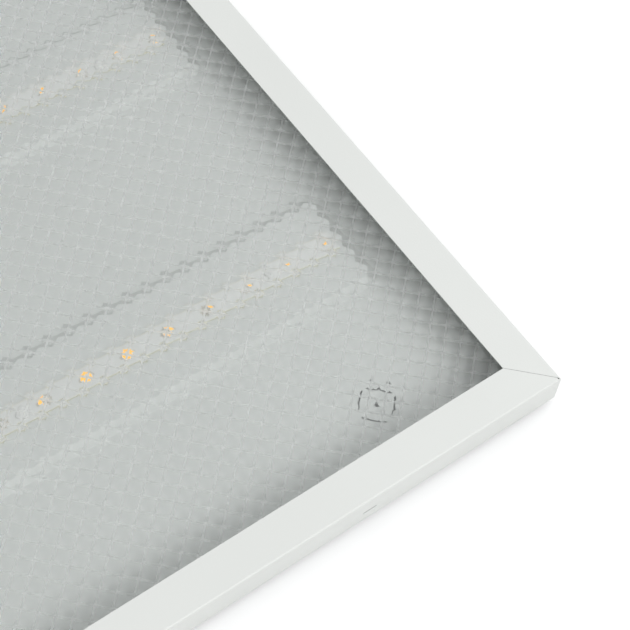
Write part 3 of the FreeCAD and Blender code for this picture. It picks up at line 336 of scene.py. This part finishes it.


# clear plastic, a little hazy along its lines, which are also tinted lighter as a painted
# highlight of the light the ridges scatter
def prismMaterial():
    tree, surface, out = freshTree("clear_prismatic")
    line = groupIn(tree, hazeAndHighlightLines, {"Width": clear["lineWidth"]}).outputs["Line"]
    # painted highlight: the line colour is lighter than the sheet
    tone = blend(tree, line, clear["sheet"], clear["line"])
    dust = remap(tree, noiseNode(tree, clear["dust"], 4.0), *clear["rough"])
    rough = mathNode(tree, "ADD", mathNode(tree, "MULTIPLY", line, clear["lineRough"]), dust)
    tree.links.new(tone, surface.inputs["Base Color"])
    tree.links.new(rough, surface.inputs["Roughness"])
    surface.inputs["Transmission Weight"].default_value = 1.0
    surface.inputs["Metallic"].default_value = 0.0
    surface.inputs["IOR"].default_value = clear["bend"]
    surface.inputs["Specular Tint"].default_value = clear["glint"]
    # light from the lamps and off the pan goes straight through, which keeps the chamber clean
    path = addNode(tree, "LightPath")
    straight = mathNode(tree, "MAXIMUM", path.outputs["Is Shadow Ray"],
                        path.outputs["Is Diffuse Ray"])
    through = addNode(tree, "BsdfTransparent")
    through.inputs["Color"].default_value = clear["lampLight"]
    either = addNode(tree, "MixShader")
    tree.links.new(straight, either.inputs["Fac"])
    tree.links.new(surface.outputs[0], either.inputs[1])
    tree.links.new(through.outputs[0], either.inputs[2])
    tree.links.new(either.outputs[0], out.inputs["Surface"])


slitShadowPaint()
stripedWire()
boardMaterial()
prismMaterial()
print("slit paint, board, wire and prism materials made")


# new pieces; folds sharper than this stay crisp
sharpAngle = math.radians(30)


def newPiece(name, bm, body, slot):
    bmesh.ops.recalc_face_normals(bm, faces=bm.faces)
    mesh = bpy.data.meshes.new(name)
    bm.to_mesh(mesh)
    bm.free()
    mesh.shade_smooth()
    mesh.set_sharp_from_angle(angle=sharpAngle)
    mesh.materials.append(bpy.data.materials[slot])
    piece = bpy.data.objects.new(name, mesh)
    bpy.context.collection.objects.link(piece)
    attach(piece, body)
    return piece


# height of a lens on the grid: rounded like a pillow, with grooves between the lenses
def prismHeight(i, j):
    half = prism["steps"] / 2
    height = 1.0
    for along in (i + j, i - j):
        away = along % prism["steps"]
        away = min(away, prism["steps"] - away)
        height *= 1 - (1 - away / half) ** prism["round"]
    return height


def prismSheet():
    step = prism["pitch"] * math.sqrt(2) / prism["steps"]
    outer = int(prism["relief"] / step) + 2
    low = prism["top"] - prism["depth"]
    bm = bmesh.new()
    bmesh.ops.create_grid(bm, x_segments=2 * outer, y_segments=2 * outer, size=outer * step)
    grooved = []
    for vert in bm.verts:
        i, j = round(vert.co.x / step), round(vert.co.y / step)
        if (i + j) % 2 == 0:
            grooved.append(vert)
        if abs(i) == outer:
            vert.co.x = math.copysign(prism["reach"], i)
        if abs(j) == outer:
            vert.co.y = math.copysign(prism["reach"], j)
        edge = outer in (abs(i), abs(j))
        vert.co.z = low + (0.0 if edge else prismHeight(i, j) * prism["depth"])
    # each square is split along the grooves' direction
    bmesh.ops.connect_verts(bm, verts=grooved)
    rim = [edge for edge in bm.edges if edge.is_boundary]
    skirt = bmesh.ops.extrude_edge_only(bm, edges=rim)["geom"]
    for part in skirt:
        if isinstance(part, bmesh.types.BMVert):
            part.co.z = prism["bottom"]
    bmesh.ops.holes_fill(bm, edges=[edge for edge in bm.edges if edge.is_boundary], sides=0)
    piece = newPiece("prism_sheet", bm, "diffuser", "clear_prismatic")
    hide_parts("prismatic_diffuser")


# the profile is (radius, height) in millimetres, from the foot up
def turned(profile, places, segments=40):
    bm = bmesh.new()
    for x, y in places:
        line = [bm.verts.new((x + radius / 1000, y, height / 1000)) for radius, height in profile]
        edges = [bm.edges.new(pair) for pair in zip(line, line[1:])]
        bmesh.ops.spin(bm, geom=line + edges, cent=(x, y, 0), axis=(0, 0, 1),
                       angle=2 * math.pi, steps=segments, use_merge=True)
    bmesh.ops.remove_doubles(bm, verts=bm.verts, dist=1e-6)
    return bm


# first and step count in LED pitches from the strip's first LED
rivet = {"first": 1.5, "step": 6, "count": 4,
         "profile": [(0, 1.8), (0.7, 1.8), (1.75, 3.5), (1.45, 3.8), (1.45, 5.6), (2.85, 5.6),
                     (2.9, 5.9), (2.6, 6.4), (1.9, 6.72), (1.2, 6.8), (1.1, 6.5), (0, 6.5)]}


def rivets():
    xs = [strip["firstLed"] - (rivet["first"] + rivet["step"] * k) * strip["pitch"]
          for k in range(rivet["count"])]
    for number, y in enumerate(strip["rows"], start=1):
        bm = turned(rivet["profile"], [(x, y) for x in xs])
        piece = newPiece("push_rivets_%d" % number, bm, "housing", "rivet_white")
        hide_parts("board_rivets_%d" % number)


screw = {"places": [(x, y) for x in (-0.241, -0.039) for y in (0.02125, 0.14375)],
         "profile": [(0, 1.2), (0.5, 1.2), (1.4, 2.4), (1.4, 5.2), (2.85, 5.2), (2.9, 5.6),
                     (2.6, 6.4), (1.8, 6.9), (0.8, 7.0), (0, 7.0)],
         "top": 0.007, "long": 0.0034, "wide": 0.0007, "deep": 0.0012, "spare": 0.0002}


def crossCutter():
    bm = bmesh.new()
    middle = screw["top"] - screw["deep"] / 2 + screw["spare"]
    for x, y in screw["places"]:
        for size in ((screw["long"], screw["wide"]), (screw["wide"], screw["long"])):
            place = Matrix.Translation((x, y, middle)) @ Matrix.Diagonal((*size, screw["deep"], 1))
            bmesh.ops.create_cube(bm, size=1.0, matrix=place)
    mesh = bpy.data.meshes.new("screw_cross")
    bm.to_mesh(mesh)
    bm.free()
    cutter = bpy.data.objects.new("screw_cross", mesh)
    bpy.context.collection.objects.link(cutter)
    return cutter


def coverScrews():
    piece = newPiece("cover_screw_heads", turned(screw["profile"], screw["places"]),
                     "housing", "screw_zinc")
    cutter = crossCutter()
    cut = piece.modifiers.new("cross", "BOOLEAN")
    cut.operation = "DIFFERENCE"
    cut.solver = "EXACT"
    cut.use_self = True  # the two bars of a cross overlap
    cut.object = cutter
    seen = piece.evaluated_get(bpy.context.evaluated_depsgraph_get())
    crossed = bpy.data.meshes.new_from_object(seen)
    piece.modifiers.clear()
    piece.data = crossed
    bpy.data.objects.remove(cutter)
    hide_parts("cover_screws")


prismSheet()
rivets()
coverScrews()
print("prism sheet, rivets and screws made")

studio = {"sky": 0.77, "skyTint": (0.98, 0.99, 1.0, 1), "aim": (0.1, -0.1, 0),
          "key": 46.0, "keyPlace": (2.8, 0.1, 2.8), "keySize": (3.4, 3.0),
          "fill": 33.0, "fillPlace": (0.2, -2.3, 1.9), "fillSize": (2.4, 1.2),
          "floor": -0.003, "floorReach": 4, "paper": 0.8, "paperGlow": 0.1}


# pale paper that shows a little brighter to the camera, so that it stays white
def floorMaterial():
    tree, surface, _ = freshTree("studio_floor")
    paper = (studio["paper"],) * 3
    look = groupIn(tree, finish, {"Tint": (*paper, 1), "Gloss": 0.9, "Grain": 300.0,
                                  "Mottle": 0.004})
    tree.links.new(look.outputs["Color"], surface.inputs["Base Color"])
    tree.links.new(look.outputs["Roughness"], surface.inputs["Roughness"])
    surface.inputs["Specular IOR Level"].default_value = 0.0
    surface.inputs["Emission Color"].default_value = (1, 1, 1, 1)
    path = addNode(tree, "LightPath")
    glow = mathNode(tree, "MULTIPLY", path.outputs["Is Camera Ray"], studio["paperGlow"])
    tree.links.new(glow, surface.inputs["Emission Strength"])


def studioFloor():
    floorMaterial()
    reach = studio["floorReach"]
    bm = bmesh.new()
    bmesh.ops.create_grid(bm, x_segments=1, y_segments=1, size=reach,
                          matrix=Matrix.Translation((0, 0, studio["floor"])))
    mesh = bpy.data.meshes.new("floor")
    bm.to_mesh(mesh)
    bm.free()
    mesh.materials.append(bpy.data.materials["studio_floor"])
    floor = bpy.data.objects.new("floor", mesh)
    bpy.context.collection.objects.link(floor)


def areaLight(name, place, size, power):
    light = bpy.data.lights.new(name, "AREA")
    light.shape = "RECTANGLE"
    light.size, light.size_y = size
    light.energy = power
    lamp = bpy.data.objects.new(name, light)
    lamp.location = place
    aim = Vector(studio["aim"]) - Vector(place)
    lamp.rotation_euler = aim.to_track_quat("-Z", "Y").to_euler()
    bpy.context.collection.objects.link(lamp)


def studioSky():
    world = bpy.data.worlds.new("studio")
    world.use_nodes = True
    sky = world.node_tree.nodes["Background"]
    sky.inputs["Color"].default_value = studio["skyTint"]
    sky.inputs["Strength"].default_value = studio["sky"]
    bpy.context.scene.world = world


# the photograph's own view, found from the frame's edges
view = {"place": (-0.0279, -0.4988, 0.6489),
        "right": (0.81621, -0.57558, 0.05015),
        "down": (-0.47093, -0.71305, -0.51941),
        "forward": (0.33472, 0.40033, -0.85305),
        "lens": 86.68, "sensor": 36.0, "near": 0.01}


def studioCamera():
    data = bpy.data.cameras.new("camera")
    data.lens = view["lens"]
    data.sensor_width = view["sensor"]
    data.clip_start = view["near"]
    camera = bpy.data.objects.new("camera", data)
    axes = (Vector(view["right"]), -Vector(view["down"]), -Vector(view["forward"]))
    camera.matrix_world = Matrix.Translation(view["place"]) @ Matrix(axes).transposed().to_4x4()
    bpy.context.collection.objects.link(camera)
    bpy.context.scene.camera = camera


studioFloor()
areaLight("key_light", studio["keyPlace"], studio["keySize"], studio["key"])
areaLight("front_light", studio["fillPlace"], studio["fillSize"], studio["fill"])
studioSky()
studioCamera()
bpy.context.scene.view_settings.view_transform = "Standard"
print("stage set")
